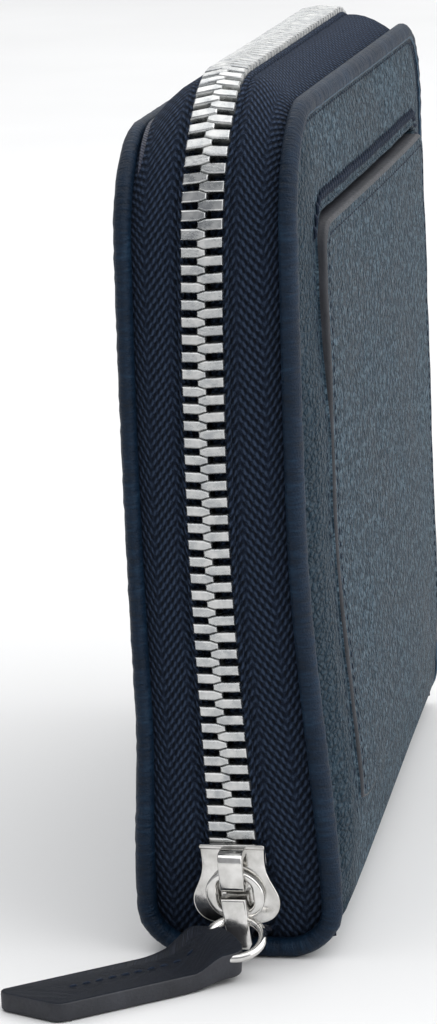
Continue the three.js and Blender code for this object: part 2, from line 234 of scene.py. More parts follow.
def rounded_loop(half, foot, top, r, foot_r, steps):
    """Up the near side, over the top, down the far side and back along the foot."""
    side_steps, corner_steps, top_steps, foot_steps = steps
    shoulder = top - r
    points = straight((-half, foot + foot_r), (-half, shoulder), side_steps)
    points += arc((r - half, shoulder), r, pi, pi / 2, corner_steps)
    points += straight((r - half, top), (half - r, top), top_steps)
    points += arc((half - r, shoulder), r, pi / 2, 0, corner_steps)
    points += straight((half, shoulder), (half, foot + foot_r), side_steps)
    for i in range(foot_steps):
        share = i / foot_steps
        lift = foot_r * min(1.0, (1 - sin(pi * share)) ** 6)
        points.append((half * (1 - 2 * share), foot + lift))
    return points


def between(outer, inner, share):
    """A loop part of the way from one loop to another."""
    return [
        (a[0] + (b[0] - a[0]) * share, a[1] + (b[1] - a[1]) * share)
        for a, b in zip(outer, inner)
    ]


def drawn_in(loop, half, z):
    """The loop's points, drawn in to a short line across the cover."""
    return [(max(min(y, half), -half), along_at(z)) for y, s in loop]


def filled(outer, inner, steps, surface, first=1):
    """Rings from one loop in to another, laid on a surface."""
    return [
        [(y, s, surface(y, s)) for y, s in between(outer, inner, i / steps)]
        for i in range(first, steps + 1)
    ]


# ---- Making meshes ----

def make_object(name, verts, faces, material, uvs=None, smooth_angle=None):
    """A mesh object from points in millimetres; uvs holds one pair for each point."""
    mesh = bpy.data.meshes.new(name)
    mesh.from_pydata([Vector(v) * MM for v in verts], [], faces)
    if uvs:
        layer = mesh.uv_layers.new(name="UVMap")
        for loop in mesh.loops:
            layer.data[loop.index].uv = uvs[loop.vertex_index]
    return finish_mesh(name, mesh, material, smooth_angle)


def finish_mesh(name, mesh, material, smooth_angle=None):
    mesh.validate()
    tidy = bmesh.new()
    tidy.from_mesh(mesh)
    bmesh.ops.remove_doubles(tidy, verts=tidy.verts, dist=1e-6)
    bmesh.ops.recalc_face_normals(tidy, faces=tidy.faces)
    tidy.to_mesh(mesh)
    tidy.free()
    for polygon in mesh.polygons:
        polygon.use_smooth = True
    if smooth_angle:
        mesh.set_sharp_from_angle(angle=radians(smooth_angle))
    obj = bpy.data.objects.new(name, mesh)
    bpy.context.scene.collection.objects.link(obj)
    for one in material if isinstance(material, (list, tuple)) else [material]:
        mesh.materials.append(one)
    return obj


def thickened(obj, thickness):
    """Gives a sheet its thickness, inwards."""
    modifier = obj.modifiers.new("solidify", "SOLIDIFY")
    modifier.thickness = thickness * MM
    modifier.offset = -1
    depsgraph = bpy.context.evaluated_depsgraph_get()
    mesh = bpy.data.meshes.new_from_object(obj.evaluated_get(depsgraph))
    obj.modifiers.clear()
    obj.data = mesh
    return obj


def faces_between(start, size, levels, closed=True):
    """Faces between rings of equal size, whose points are numbered on from start."""
    faces = []
    for level in range(levels - 1):
        a, b = start + level * size, start + (level + 1) * size
        for j in range(size if closed else size - 1):
            k = (j + 1) % size
            faces.append((a + j, a + k, b + k, b + j))
    return faces


def cap(start, size):
    """One face over a whole ring."""
    return tuple(start + j for j in range(size))


def loft(rings, closed=True):
    return faces_between(0, len(rings[0]), len(rings), closed)


def flatten(rings):
    return [point for ring in rings for point in ring]


# ---- Covers ----

def shell_rings(inner, steps=30):
    """Rings from the crease at the outline to an inner loop, closest together at both."""
    outer = arch_loop(CREASE_INSET)
    rings = []
    for i in range(steps + 1):
        share = 0.5 - 0.5 * cos(pi * i / steps)
        rings.append([(y, s, cover_surface(y, s)) for y, s in between(outer, inner, share)])
    return rings


def lay(side, rings):
    """Points in space, and their places on the leather, from rings of (y, s, height)."""
    verts = [on_shell(side, y, s, h) for y, s, h in flatten(rings)]
    uvs = [(y * MM, s * MM) for y, s, h in flatten(rings)]
    return verts, uvs


def uneven(y, s):
    """Slow waves in the leather's surface."""
    wave = sin(y * 0.31 + 1.3 * sin(s * 0.17)) * sin(s * 0.23 + 0.7)
    ripple = sin(y * 0.83 + s * 0.41) * sin(s * 0.59 - y * 0.27)
    return 0.07 * wave + 0.035 * ripple


def cover_surface(y, s):
    inside = smooth(CREASE_INSET, CREASE_INSET + 4, edge_distance(y, s))
    return pad_height(y, s) + uneven(y, s) * inside * smooth(PAD_FROM, PAD_FULL, s)


def add_front_shell(material):
    """The front half of the leather, with a turned lip round the pocket's window."""
    rings = shell_rings(window_loop(0.0))
    lip = [(0.0, 0.10), (-0.15, 0.18), (-0.40, 0.12), (-0.58, -0.20), (-0.62, -0.80), (-0.62, -1.9)]
    for grow, lift in lip:
        rings.append([(y, s, cover_surface(y, s) + lift) for y, s in window_loop(grow)])
    verts, uvs = lay(1, rings)
    obj = make_object("cover_skin_front", verts, loft(rings), material, uvs)
    return thickened(obj, SKIN)


def add_back_shell(material):
    """The back half of the leather, plain all over."""
    middle = window_loop(0.0)
    rings = shell_rings(middle)
    rings += filled(middle, drawn_in(middle, 18.0, 50), 12, cover_surface)
    verts, uvs = lay(-1, rings)
    obj = make_object("cover_skin_back", verts, loft(rings), material, uvs)
    return thickened(obj, SKIN)


# The rolled edge's section: how far in from the outline, and how far out from the cover
RIM_REACH = 3.0
RIM_PROFILE = [
    (2.9, -0.75), (2.5, -0.42), (2.2, -0.06), (1.75, 0.14), (1.2, 0.12), (0.7, -0.08), (0.28, -0.42),
    (0.05, -0.9), (0.05, -1.35), (0.3, -1.75), (0.8, -1.98), (1.4, -2.05), (2.2, -2.0), (2.6, -1.6),
]


def add_rim(side, name, material):
    """The rolled edge: one leather bead round a half of the wallet."""
    rings = []
    uvs = []
    path = arch_loop(0.0, RIM_STEPS)[:-1]
    inner = arch_loop(RIM_REACH, RIM_STEPS)[:-1]
    run = 0.0
    last = path[0]
    for (y, s), (inner_y, inner_s) in zip(path, inner):
        run += hypot(y - last[0], s - last[1])
        last = (y, s)
        wrinkle = 0.05 * sin(run * 1.7) * sin(run * 0.61 + 1) + 0.03 * sin(run * 4.3)
        girth = 0.0
        ring = []
        for i, (d, h) in enumerate(RIM_PROFILE):
            share = d / RIM_REACH
            if i:
                girth += dist((d, h), RIM_PROFILE[i - 1])
            lift = h + (wrinkle if h > -1 else 0)
            point_y = y + (inner_y - y) * share
            point_s = s + (inner_s - s) * share
            ring.append(on_shell(side, point_y, point_s, lift))
            uvs.append((run * MM, girth * MM))
        rings.append(ring)
    return make_object(name, flatten(rings), loft(rings), material, uvs)


# ---- Pocket ----

def panel_surface(y, s):
    """The pocket's front stands out most at its free top edge."""
    z = height_at(s)
    proud = PANEL_PROUD_LOW + (PANEL_PROUD_TOP - PANEL_PROUD_LOW) * smooth(58, 76, z)
    return pad_height(y, s) + uneven(y + 11, s) * 0.7 + proud


PAINTED_BANDS = 4
LINING_DEPTH = 1.7


def add_pocket_panel(leather, paint):
    """The pocket's front: thick leather with painted edges, a little proud of the cover."""
    rings = []
    profile = [
        (-0.3, -PANEL_DEPTH), (-0.3, -0.55), (-0.34, -0.28), (-0.48, -0.1), (-0.75, -0.02),
        (-1.2, 0.0), (-2.4, -0.08), (-4.0, 0.0)]
    for grow, lift in profile:
        loop = window_loop(grow, PANEL_TOP)
        rings.append([(y, s, panel_surface(y, s) + lift) for y, s in loop])
    edge = window_loop(profile[-1][0], PANEL_TOP)
    rings += filled(edge, drawn_in(edge, 16.0, 48), 14, panel_surface)
    verts, uvs = lay(1, rings)
    obj = make_object("pocket_front", verts, loft(rings), [leather, paint], uvs)
    painted = PAINTED_BANDS * len(rings[0])
    for polygon in obj.data.polygons:
        polygon.material_index = 1 if polygon.index < painted else 0
    return obj


def lining_surface(y, s):
    return pad_height(y, s) - LINING_DEPTH


def add_pocket_back(material):
    """The dark lining seen above the pocket's front."""
    loop = window_loop(0.6)
    rings = filled(loop, drawn_in(loop, 16.0, 50), 8, lining_surface, first=0)
    verts, uvs = lay(1, rings)
    return make_object("pocket_lining", verts, loft(rings), material, uvs)


# ---- Stitches ----

STITCH_SIDES = 6
# Each ring of a stitch: its place along it, its girth and how far it stands out
STITCH_RINGS = [
    (-1.0, 0.2, -1.1), (-0.8, 0.7, -0.35), (-0.35, 1.0, 0.25),
    (0.35, 1.0, 0.25), (0.8, 0.7, -0.35), (1.0, 0.2, -1.1)]


def stitch(verts, faces, centre, along, out, length, radius):
    """One thread: a short capsule that dips into the leather at both ends."""
    along = along.normalized()
    across = out.cross(along).normalized()
    faces += faces_between(len(verts), STITCH_SIDES, len(STITCH_RINGS))
    for reach, girth, lift in STITCH_RINGS:
        middle = centre + along * (reach * length / 2) + out * (lift * radius)
        for a, b in circle(STITCH_SIDES):
            verts.append(middle + (across * a + out * b) * (girth * radius))


def shell_stitches(name, side, path, surface, material, length, radius, slant=0.0, lift=0.0):
    """Stitches centred on points of the cover, along the path or slanted across it."""
    verts, faces = [], []
    step = 0.3
    for i, (y, s) in enumerate(path):
        y1, s1 = path[min(i + 1, len(path) - 1)]
        y0, s0 = path[max(i - 1, 0)]
        heading = atan2(s1 - s0, y1 - y0) + slant + random.uniform(-0.06, 0.06)
        ya, sa = y + step * cos(heading), s + step * sin(heading)
        centre = on_shell(side, y, s, surface(y, s) + lift)
        ahead = on_shell(side, ya, sa, surface(ya, sa) + lift)
        out = on_shell(side, y, s, surface(y, s) + lift + 1) - centre
        long = length * random.uniform(0.94, 1.06)
        stitch(verts, faces, centre, ahead - centre, out.normalized(), long, radius)
    return make_object(name, verts, faces, material)


def spaced(points, pitch):
    """Points a fixed distance apart along a line of points."""
    found = [points[0]]
    left = pitch
    for (y0, s0), (y1, s1) in zip(points, points[1:]):
        length = dist((y0, s0), (y1, s1))
        place = left
        while place < length:
            share = place / length
            found.append((y0 + (y1 - y0) * share, s0 + (s1 - s0) * share))
            place += pitch
        left = place - length
    return found


# ---- Zip ----

def outline_at(half, top, r, leg, share):
    """A place on an arch of the wallet's end and top, by its leg and the share of it travelled."""
    if leg == 0:
        return -half, (top - r) * share
    if leg == 1:
        turn = pi * (1 - share / 2)
        return -half + r + r * cos(turn), top - r + r * sin(turn)
    if leg == 2:
        return -half + r + 2 * (half - r) * share, top
    if leg == 3:
        turn = pi / 2 * (1 - share)
        return half - r + r * cos(turn), top - r + r * sin(turn)
    return half, (top - r) * (1 - share)


CHAIN_LEGS = [
    CHAIN_TOP - CHAIN_ROUND, CHAIN_ROUND * pi / 2,
    2 * (HALF_Y - CHAIN_INSET - CHAIN_ROUND), CHAIN_ROUND * pi / 2, CHAIN_TOP - CHAIN_ROUND]


def station(distance):
    """The leg of the chain at a distance from the near foot, the share of it and the heading."""
    leg = 0
    while leg < 4 and distance > CHAIN_LEGS[leg]:
        distance -= CHAIN_LEGS[leg]
        leg += 1
    share = distance / CHAIN_LEGS[leg]
    heading = pi / 2 * (1, 1 - share, 0, -share, -1)[leg]
    return leg, share, heading


def chain_length():
    return sum(CHAIN_LEGS)


def on_zip(x, distance, out):
    """A point of the zip: x across, a distance along, and out from its surface.

    The chain runs along a higher and rounder arch than the covers' edges do.
    """
    leg, share, heading = station(distance)
    half = HALF_Y - CHAIN_INSET
    top = HEIGHT - CHAIN_INSET
    edge_y, edge_z = outline_at(half, top, CORNER - CHAIN_INSET, leg, share)
    mid_y, mid_z = outline_at(half, CHAIN_TOP, CHAIN_ROUND, leg, share)
    weight = max(0.0, 1 - (x / TAPE_REACH) ** 2)
    y = edge_y + (mid_y - edge_y) * weight
    z = edge_z + (mid_z - edge_z) * weight
    reach = out + CROWN_END * smooth(18, 55, z) * weight
    y -= reach * sin(heading)
    z += reach * cos(heading)
    if x < 0:
        z += (sunk(-1, z) - z) * (1 - weight)
    return Vector((settled(x, y, z), y, z))


TAPE_DENT = 0.9
# The tape's section from the cover to the teeth: how far across, and how far out
TAPE_PROFILE = [
    (10.1, -0.6), (9.4, -0.1), (8.8, 0.25), (7.8, 0.5), (6.6, 0.66), (5.4, 0.68), (4.4, 0.55),
    (3.7, 0.38), (3.2, 0.2), (2.9, -0.1), (2.2, -0.35), (0.9, -0.4)]


def add_tape(side, name, material):
    """One tape of the zip, sunk at both feet."""
    rings = []
    uvs = []
    total = chain_length()
    steps = 220
    for i in range(steps + 1):
        distance = TAPE_FOOT + (total - 2 * TAPE_FOOT) * i / steps
        ring = []
        girth = 0.0
        for j, (x, out) in enumerate(TAPE_PROFILE):
            if j:
                girth += dist((x, out), TAPE_PROFILE[j - 1])
            dent = TAPE_DENT * (1 - smooth(2, 12, min(distance, total - distance)))
            ring.append(on_zip(side * x, distance, out - dent))
            uvs.append((distance * MM, girth * MM))
        rings.append(ring)
    obj = make_object(name, flatten(rings), loft(rings, closed=False), material, uvs)
    return thickened(obj, TAPE_THICKNESS)


def tooth_outline(side, inset):
    """A tooth seen from outside the chain: a bar with a pointed end that reaches past the middle."""
    half = TOOTH_LENGTH / 2 - inset
    outer = CHAIN_HALF - 0.2 - inset
    tip = TOOTH_TIP - inset
    return [
        (side * outer, -half), (side * outer, half), (side * 0.4, half),
        (-side * tip, half * 0.5), (-side * tip, -half * 0.5), (side * 0.4, -half)]


TOOTH_LEVELS = [(0.0, -TOOTH_OUT), (0.0, 0.95), (0.07, 1.1), (0.2, TOOTH_OUT)]


def add_tooth(verts, faces, side, distance):
    start = len(verts)
    size = len(tooth_outline(side, 0.0))
    tilt = random.uniform(-0.02, 0.02)
    for inset, out in TOOTH_LEVELS:
        for x, v in tooth_outline(side, inset):
            verts.append(on_zip(x, distance + v, out + tilt * x))
    faces += faces_between(start, size, len(TOOTH_LEVELS))
    faces.append(cap(start, size))
    faces.append(cap(start + (len(TOOTH_LEVELS) - 1) * size, size))
    add_nub(verts, faces, side * 0.1, distance + PITCH / 2)


NUB_SIDES = 8
NUB_RADIUS = 0.3
NUB_LEVELS = [(1.0, -0.6), (1.0, 0.55), (0.6, 0.7), (0.15, 0.73)]


def add_nub(verts, faces, x, distance):
    """The round boss at a tooth's tip that fits under the next tooth."""
    start = len(verts)
    for girth, out in NUB_LEVELS:
        reach = NUB_RADIUS * girth
        for a, b in circle(NUB_SIDES):
            verts.append(on_zip(x + a * reach, distance + b * reach, out))
    faces += faces_between(start, NUB_SIDES, len(NUB_LEVELS))
    faces.append(cap(start + (len(NUB_LEVELS) - 1) * NUB_SIDES, NUB_SIDES))


def add_teeth(side, name, material):
    verts, faces = [], []
    distance = CHAIN_FOOT - 1 + (PITCH / 2 if side > 0 else 0)
    end = chain_length() - CHAIN_END
    while distance < end:
        add_tooth(verts, faces, side, distance)
        distance += PITCH
    return make_object(name, verts, faces, material, smooth_angle=28)


CORD_RADIUS = 0.42
CORD_SIDES = 8
CORD_X = 2.75


def add_cord(side, name, material):
    """The cord that the teeth are clamped to, at the tape's edge."""
    rings = []
    uvs = []
    total = chain_length()
    steps = 200
    foot = TAPE_FOOT + 2
    for i in range(steps + 1):
        distance = foot + (total - 2 * foot) * i / steps
        ring = []
        for j, (a, b) in enumerate(circle(CORD_SIDES)):
            ring.append(on_zip(side * (CORD_X + CORD_RADIUS * a), distance, 0.1 + CORD_RADIUS * b))
            uvs.append((distance * MM, 2 * pi * CORD_RADIUS * j / CORD_SIDES * MM))
        rings.append(ring)
    return make_object(name, flatten(rings), loft(rings), material, uvs)


# ---- Metal parts ----

def bezier(a, b, c, d, steps=10):
    """Points along one cubic curve, without its last one."""
    found = []
    for i in range(steps):
        t = i / steps
        u = 1 - t
        weights = (u ** 3, 3 * u * u * t, 3 * u * t * t, t ** 3)
        found.append(tuple(
            sum(weight * point[k] for weight, point in zip(weights, (a, b, c, d))) for k in range(2)))
    return found


def plate(name, outlines, thickness, bevel, place, material, smooth_angle=30):
    """A flat plate with rounded edges; the outlines after the first are holes."""
    curve = bpy.data.curves.new(name, "CURVE")
    curve.dimensions = "2D"
    curve.fill_mode = "BOTH"
    curve.extrude = (thickness / 2 - bevel) * MM
    curve.bevel_depth = bevel * MM
    curve.bevel_resolution = 3
    curve.offset = -bevel * MM
    for outline in outlines:
        spline = curve.splines.new("POLY")
        spline.points.add(len(outline) - 1)
        for point, (a, b) in zip(spline.points, outline):
            point.co = (a * MM, b * MM, 0, 1)
        spline.use_cyclic_u = True
    helper = bpy.data.objects.new(name + "_outline", curve)
    bpy.context.scene.collection.objects.link(helper)
    depsgraph = bpy.context.evaluated_depsgraph_get()
    mesh = bpy.data.meshes.new_from_object(helper.evaluated_get(depsgraph))
    bpy.data.objects.remove(helper)
    mesh.transform(place)
    mesh.materials.clear()
    return finish_mesh(name, mesh, material, smooth_angle)


def facing_out(y):
    """Stands a plate drawn in (x, z) upright, with its middle on the plane y."""
    return Matrix.Translation((0, y * MM, 0)) @ Matrix.Rotation(pi / 2, 4, "X")


def facing_side(x):
    """Stands a plate drawn in (distance out, z) upright across the chain."""
    turn = Matrix(((0, 0, 1, 0), (-1, 0, 0, 0), (0, 1, 0, 0), (0, 0, 0, 1)))
    return Matrix.Translation((x * MM, 0, 0)) @ turn


def joined(name, parts):
    """Joins meshes into the first one."""
    whole = bmesh.new()
    for part in parts:
        whole.from_mesh(part.data)
    first = parts[0]
    whole.to_mesh(first.data)
    whole.free()
    for part in parts[1:]:
        bpy.data.objects.remove(part)
    first.name = name
    first.data.name = name
    return first


SLIDER_FOOT = 4.6
SLIDER_HEIGHT = 9.6
SLIDER_TOP = SLIDER_FOOT + SLIDER_HEIGHT
CHAIN_FACE = -(HALF_Y - CHAIN_INSET)
WING_GAP = 3.0
WING = 1.0
WING_FACE = CHAIN_FACE - WING_GAP / 2 - WING
BAR_Y = WING_FACE - 0.9
BAR_HEIGHT = 10.8
EYELET_Y = BAR_Y - 0.7
EYELET_HEIGHT = 5.7
SLIDER_LEAN = 0.05
PULLER_LEAN = 0.11
RING_SHIFT = 0.85


def wing_outline():
    """Half of the slider's outline, flared at the foot, then mirrored."""
    shoulder = (3.85, SLIDER_HEIGHT)
    right = [(0.0, -0.15)]
    right += bezier((2.2, -0.1), (3.6, 0.0), (4.7, 0.6), (5.1, 1.9))
    right += bezier((5.1, 1.9), (5.6, 3.6), (4.3, 4.6), (3.9, 6.3))
    right += bezier((3.9, 6.3), (3.7, 7.2), (3.75, 7.9), shoulder)
    right += [shoulder]
    left = [(-x, z) for x, z in reversed(right[1:])]
    return [(x, z + SLIDER_FOOT) for x, z in right + left]


def rounded_box_outline(low, high, radius, steps=5):
    """A rectangle with round corners, between two of its corners."""
    (x0, z0), (x1, z1) = low, high
    corners = (
        (x1 - radius, z0 + radius), (x1 - radius, z1 - radius),
        (x0 + radius, z1 - radius), (x0 + radius, z0 + radius))
    found = []
    for quarter, centre in enumerate(corners, start=-1):
        start, end = quarter * pi / 2, (quarter + 1) * pi / 2
        found += arc(centre, radius, start, end, steps) + arc(centre, radius, end, end, 1)
    return found


def leaning(obj, top, lean, shift=0.0):
    """Slants a piece sideways, the more the further it is below a height."""
    for vert in obj.data.vertices:
        vert.co.x += (top * MM - vert.co.z) * lean + shift * MM
    return obj


def add_slider(material):
    """Two wings joined by a post, with flanges at the sides and a lip along the top."""
    inner_y = CHAIN_FACE + WING_GAP / 2 + WING / 2
    outer_place = facing_out(WING_FACE + WING / 2)
    post = rounded_box_outline((-0.45, 5.2), (0.45, 8.6), 0.3)
    parts = [
        plate("outer_wing", [wing_outline()], WING, 0.28, outer_place, material),
        plate("inner_wing", [wing_outline()], WING, 0.25, facing_out(inner_y), material),
        plate("post", [post], WING_GAP + 0.6, 0.05, facing_out(CHAIN_FACE), material)]
    flange_in, flange_out = 3.25, 3.8
    for side in (-1, 1):
        for reach in (-1, 1):
            low = (min(side * flange_in, side * flange_out), SLIDER_FOOT + 3.6)
            high = (max(side * flange_in, side * flange_out), SLIDER_TOP - 0.1)
            flange = rounded_box_outline(low, high, 0.2)
            y = CHAIN_FACE + reach * (WING_GAP / 2 - 0.25)
            parts.append(plate("flange", [flange], 0.9, 0.12, facing_out(y), material))
    lip = rounded_box_outline((-3.9, SLIDER_TOP - 0.55), (3.9, SLIDER_TOP + 0.05), 0.25)
    parts.append(plate("shoulder", [lip], 0.7, 0.18, facing_out(WING_FACE + 0.28), material))
    return leaning(joined("slider_metal", parts), SLIDER_TOP, SLIDER_LEAN)


def add_crown(material):
    """The strap over the slider that the puller hangs from."""
    rise, low, high = 2.6, 9.1, 13.9
    inner, base, roof = rise - 0.85, low + 0.95, high - 1.0
    root = -0.1
    outline = [(root, low)]
    outline += bezier((rise - 1.0, low), (rise - 0.4, low), (rise, low + 0.35), (rise, low + 1.1), 6)
    outline += bezier((rise, high - 1.3), (rise, high - 0.4), (rise - 0.5, high), (rise - 1.2, high), 6)
    outline += [(root, high), (root, roof), (rise - 1.5, roof)]
    outline += bezier(
        (rise - 1.5, roof), (rise - 1.0, roof - 0.05), (inner, roof - 0.2), (inner, roof - 0.6), 5)
    outline += bezier((inner, low + 1.5), (inner, low + 1.1), (rise - 1.1, base), (rise - 1.5, base), 5)
    outline += [(root, base)]
    shifted = [(out - WING_FACE, z) for out, z in outline]
    strap = plate("slider_bridge", [shifted], 2.9, 0.16, facing_side(0.1), material)
    return leaning(strap, SLIDER_TOP, SLIDER_LEAN)


def add_puller(material):
    """A flat eye round the strap, and a thick stem that tapers at its foot."""
    eye = [(3.5 * a, BAR_HEIGHT - 2.35 + 3.1 * b) for a, b in circle(48)]
    window = rounded_box_outline((-2.1, BAR_HEIGHT - 4.1), (2.1, BAR_HEIGHT - 0.45), 1.1, 8)
    flat = plate("eye", [eye, window], 1.0, 0.3, facing_out(BAR_Y), material)
    top, foot = 8.5, 2.3
    wide, narrow = 1.5, 1.0
    stem = [
        (-narrow, foot), (narrow, foot), (wide - 0.05, foot + 0.7),
        (wide, top), (-wide, top), (0.05 - wide, foot + 0.7)]
    shank = plate("stem", [stem], 2.4, 0.35, facing_out(EYELET_Y), material)
    shift = SLIDER_LEAN * (SLIDER_TOP - BAR_HEIGHT)
    return leaning(joined("puller_metal", [flat, shank]), BAR_HEIGHT, PULLER_LEAN, shift)


def add_ring(material):
    """The jump ring: a round wire with its thin joint."""
    radius, wire = 3.3, 0.52
    joint, start = 0.035, radians(40)
    tilt = radians(67)
    turns, sides = 96, 16
    rings = []
    for i in range(turns + 1):
        angle = start + (2 * pi - joint) * i / turns
        ring = []
        for a, b in circle(sides):
            reach = radius + wire * a
            x, y, z = reach * cos(angle), wire * b, reach * sin(angle) - radius
            ring.append((
                x + RING_SHIFT,
                EYELET_Y + y * cos(tilt) + z * sin(tilt),
                EYELET_HEIGHT - y * sin(tilt) + z * cos(tilt)))
        rings.append(ring)
    faces = loft(rings)
    faces.append(cap(0, sides))
    faces.append(cap(turns * sides, sides))
    return make_object("ring_metal", flatten(rings), faces, material, smooth_angle=50)


# ---- Tab ----

TAB_LENGTH = 24.9
TAB_HALF = 4.15
TAB_THICKNESS = 2.3
TAB_TURN = radians(37.5)
TAB_START = Vector((1.9, -60.9, 0.05))
TAB_AHEAD = Vector((-cos(TAB_TURN), -sin(TAB_TURN), 0))
TAB_ACROSS = Vector((-sin(TAB_TURN), cos(TAB_TURN), 0))
# At the ring the tab is thicker, twisted, lifted off the floor and domed
TAB_END_THICKNESS = 3.3
TAB_END_TWIST = radians(8.5)
TAB_END_LIFT = 0.55
TAB_END_DOME = 0.4


def tab_place(u, v, w):
    """A point of the tab: u from the ring, v across, w above its middle, as it lies on the floor."""
    raised = smooth(9, 2, u)
    folded = smooth(6, 2, u)
    thick = TAB_THICKNESS + (TAB_END_THICKNESS - TAB_THICKNESS) * folded
    twist = TAB_END_TWIST * raised
    w *= thick / TAB_THICKNESS
    across = v * cos(twist) - w * sin(twist)
    lift = (v + TAB_HALF) * sin(twist) + w * cos(twist) + thick / 2
    lift += TAB_END_LIFT * folded
    if w > 0:
        lift += TAB_END_DOME * folded * (1 - (v / TAB_HALF) ** 2)
    return TAB_START + TAB_AHEAD * u + TAB_ACROSS * (across + TAB_HALF) + Vector((0, 0, lift))


def tab_outline():
    """The tab's plan: a blunt end folded round the ring, and a slanted end with round corners."""
    half = TAB_HALF
    tip = TAB_LENGTH
    butt = -0.9
    points = [(1.6, -half)]
    points += bezier(
        (tip - 3.2, -half), (tip - 2.2, -half), (tip - 1.6, 0.3 - half), (tip - 0.9, 1.2 - half), 6)
    points += bezier(
        (tip + 1.4, half - 2.6), (tip + 2.4, half - 1.2), (tip + 2.3, half), (tip + 0.8, half), 6)
    points += bezier((3.6, half), (2.6, half), (2.0, half - 0.2), (1.4, half - 0.7), 6)
    points += bezier((-0.2, half - 2.6), (-0.6, half - 3.4), (butt, 3.0 - half), (butt, 1.6 - half), 6)
    points += bezier((butt, 1.6 - half), (butt, 0.6 - half), (0.0, -half), (1.2, -half), 6)
    return points


def cut_across(body, place, normal):
    """Adds an edge all round a mesh where a plane meets it."""
    geometry = body.verts[:] + body.edges[:] + body.faces[:]
    bmesh.ops.bisect_plane(body, geom=geometry, plane_co=place, plane_no=normal)


def add_tab(leather, paint):
    """The strap, cut finely enough to bend, with painted edges."""
    flat = plate("tab", [tab_outline()], TAB_THICKNESS, 0.3, Matrix.Identity(4), [leather, paint], None)
    body = bmesh.new()
    body.from_mesh(flat.data)
    for i in range(36):
        cut_across(body, ((-2 + i * 0.85) * MM, 0, 0), (1, 0, 0))
    for i in range(-5, 6):
        cut_across(body, (0, i * 0.9 * MM, 0), (0, 1, 0))
    bmesh.ops.triangulate(body, faces=[f for f in body.faces if len(f.verts) > 4])
    layer = body.loops.layers.uv.new("UVMap")
    for face in body.faces:
        face.material_index = 0 if abs(face.normal.z) > 0.8 else 1
        for loop in face.loops:
            loop[layer].uv = (loop.vert.co.x, loop.vert.co.y + loop.vert.co.z * 0.7)
    for vert in body.verts:
        u, v, w = vert.co / MM
        rim = min(TAB_HALF - abs(v), TAB_LENGTH - u, 3.0)
        swell = 0.16 * smooth(0, 3, rim) if w > 0.7 else 0.0
        vert.co = tab_place(u, v, w + swell) * MM
    body.to_mesh(flat.data)
    body.free()
    for polygon in flat.data.polygons:
        polygon.use_smooth = True
    flat.data.set_sharp_from_angle(angle=radians(60))
    flat.name = "tab_strap"
    return flat


def add_tab_stitches(material):
    """One row of stitches down the middle."""
    verts, faces = [], []
    top = TAB_THICKNESS / 2 + 0.12
    middle, pitch, step = -0.2, 1.65, 0.3
    u = 4.6
    while u < 21.0:
        centre = tab_place(u, middle, top)
        ahead = tab_place(u + step, middle + random.uniform(-0.04, 0.04), top)
        out = tab_place(u, middle, top + 1) - centre
        stitch(verts, faces, centre, ahead - centre, out.normalized(), 1.35, 0.2)
        u += pitch
    return make_object("tab_thread", verts, faces, material)


# ---- Materials ----

